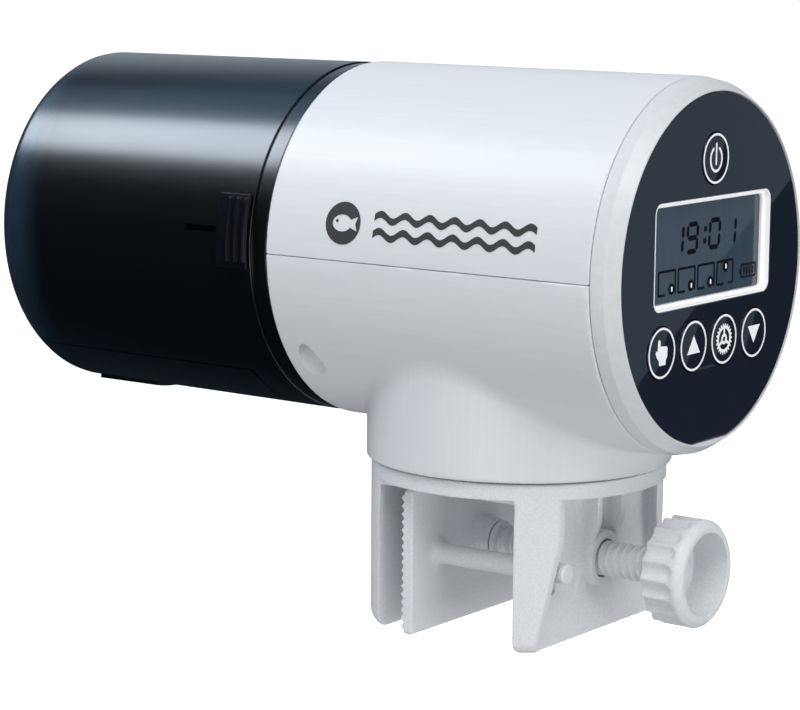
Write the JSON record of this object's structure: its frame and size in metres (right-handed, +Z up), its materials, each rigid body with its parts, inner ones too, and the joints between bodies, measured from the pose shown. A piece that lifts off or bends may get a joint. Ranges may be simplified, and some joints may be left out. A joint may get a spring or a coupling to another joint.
{
  "type": "automatic fish feeder",
  "caption": "Drum hopper fish feeder with a geared motor, display and keys in a round housing that swivels on a screw clamp for a tank rim.",
  "frame": {"origin": "centre of the flat seat under the clamp that rests on the tank rim, between the two jaws", "axes": "+X along the drum axis towards the display, +Y to the rear, +Z up"},
  "size_m": [0.1405, 0.0676, 0.1017],
  "materials": {
    "clamp_white": "fine matt texture",
    "body_white": "satin with faint brushed streaks",
    "ring_grey": "satin",
    "lens_gloss": "high gloss",
    "key_gloss": "gloss",
    "lcd_glass": "flat dark liquid crystal display",
    "grey_rubber": "matt",
    "board_green": "solder mask",
    "dark_plastic": "matt",
    "collar_dark": "satin",
    "smoked_hopper": "smoked translucent, gloss",
    "cell_jacket": "printed jacket, plain",
    "nickel": "nickel plate",
    "steel": "zinc plated",
    "motor_can": "bright can",
    "bush_bronze": "sintered bronze",
    "gear_acetal": "natural acetal"
  },
  "bodies": {
    "clamp": {"clamp_base": "clamp_white"},
    "jaw": {"pressure_jaw": "clamp_white", "screw_cap": "clamp_white"},
    "screw": {"thumbscrew": "clamp_white"},
    "feeder": {"lower_shell": "body_white", "upper_shell": "body_white", "front_ring": "ring_grey", "control_panel": "lens_gloss", "lcd_frame": "body_white", "lcd_module": "lcd_glass", "keypad_mat": "grey_rubber", "circuit_board": "board_green", "battery_tray": "dark_plastic", "battery_cell_low": "cell_jacket", "battery_cell_high": "cell_jacket", "contact_bridge": "nickel", "contact_low": "nickel", "contact_high": "nickel", "swivel_screw": "steel", "swivel_washer": "steel", "shell_screw_front": "steel", "shell_screw_rear": "steel", "motor": "motor_can", "gearbox_plate": "dark_plastic", "shaft_bush": "bush_bronze", "home_switch": "dark_plastic"},
    "battery_cover": {"battery_door": "body_white"},
    "power_key": {"key_power": "key_gloss"},
    "feed_key": {"key_feed": "key_gloss"},
    "up_key": {"key_up": "key_gloss"},
    "set_key": {"key_set": "key_gloss"},
    "down_key": {"key_down": "key_gloss"},
    "pinion": {"motor_pinion": "gear_acetal"},
    "compound": {"compound_gear": "gear_acetal"},
    "drive": {"drive_hub": "gear_acetal"},
    "drum": {"hopper_drum": "smoked_hopper", "hopper_collar": "collar_dark"},
    "gate": {"outlet_gate": "collar_dark"},
    "hatch": {"refill_hatch": "smoked_hopper"}
  },
  "joints": [
    {"name": "swivel", "type": "hinge", "parent": "clamp", "child": "feeder", "pos_m": [0.013, 0, 0], "axis": [0, 0, 1], "continuous": true},
    {"name": "jaw_slide", "type": "slide", "parent": "clamp", "child": "jaw", "axis": [1, 0, 0], "range_m": [-0.0046, 0.014]},
    {"name": "screw_turn", "type": "hinge", "parent": "jaw", "child": "screw", "pos_m": [0.045, 0, -0.0127], "axis": [1, 0, 0], "range_deg": [-1040, 3160]},
    {"name": "drive_spin", "type": "hinge", "parent": "feeder", "child": "drive", "pos_m": [-0.0152, 0, 0.0417], "axis": [1, 0, 0], "continuous": true},
    {"name": "compound_spin", "type": "hinge", "parent": "feeder", "child": "compound", "pos_m": [-0.0123, 0, 0.0273], "axis": [1, 0, 0], "continuous": true},
    {"name": "pinion_spin", "type": "hinge", "parent": "feeder", "child": "pinion", "pos_m": [-0.0123, -0.01251, 0.03313], "axis": [1, 0, 0], "continuous": true},
    {"name": "drum_pull_off", "type": "slide", "parent": "drive", "child": "drum", "axis": [1, 0, 0], "range_m": [-0.012, 0]},
    {"name": "gate_slide", "type": "slide", "parent": "drum", "child": "gate", "axis": [-1, 0, 0], "range_m": [0, 0.0075]},
    {"name": "hatch_slide", "type": "slide", "parent": "drum", "child": "hatch", "axis": [-1, 0, 0], "range_m": [0, 0.052]},
    {"name": "battery_door_hinge", "type": "hinge", "parent": "feeder", "child": "battery_cover", "pos_m": [0.015, 0.03299, 0.04546], "axis": [-1, 0, 0], "range_deg": [0, 100]},
    {"name": "power_key_press", "type": "slide", "parent": "feeder", "child": "power_key", "axis": [-1, 0, 0], "range_m": [0, 0.0007], "stiffness_N_per_m": 1000, "springref_m": -0.0002},
    {"name": "feed_key_press", "type": "slide", "parent": "feeder", "child": "feed_key", "axis": [-1, 0, 0], "range_m": [0, 0.0007], "stiffness_N_per_m": 1000, "springref_m": -0.0002},
    {"name": "up_key_press", "type": "slide", "parent": "feeder", "child": "up_key", "axis": [-1, 0, 0], "range_m": [0, 0.0007], "stiffness_N_per_m": 1000, "springref_m": -0.0002},
    {"name": "set_key_press", "type": "slide", "parent": "feeder", "child": "set_key", "axis": [-1, 0, 0], "range_m": [0, 0.0007], "stiffness_N_per_m": 1000, "springref_m": -0.0002},
    {"name": "down_key_press", "type": "slide", "parent": "feeder", "child": "down_key", "axis": [-1, 0, 0], "range_m": [0, 0.0007], "stiffness_N_per_m": 1000, "springref_m": -0.0002}
  ],
  "couplings": [
    {"joint": "screw_turn", "follows": "jaw_slide", "rad_per_m": 3927},
    {"joint": "compound_spin", "follows": "drive_spin", "ratio": -3},
    {"joint": "pinion_spin", "follows": "drive_spin", "ratio": 10.8}
  ]
}
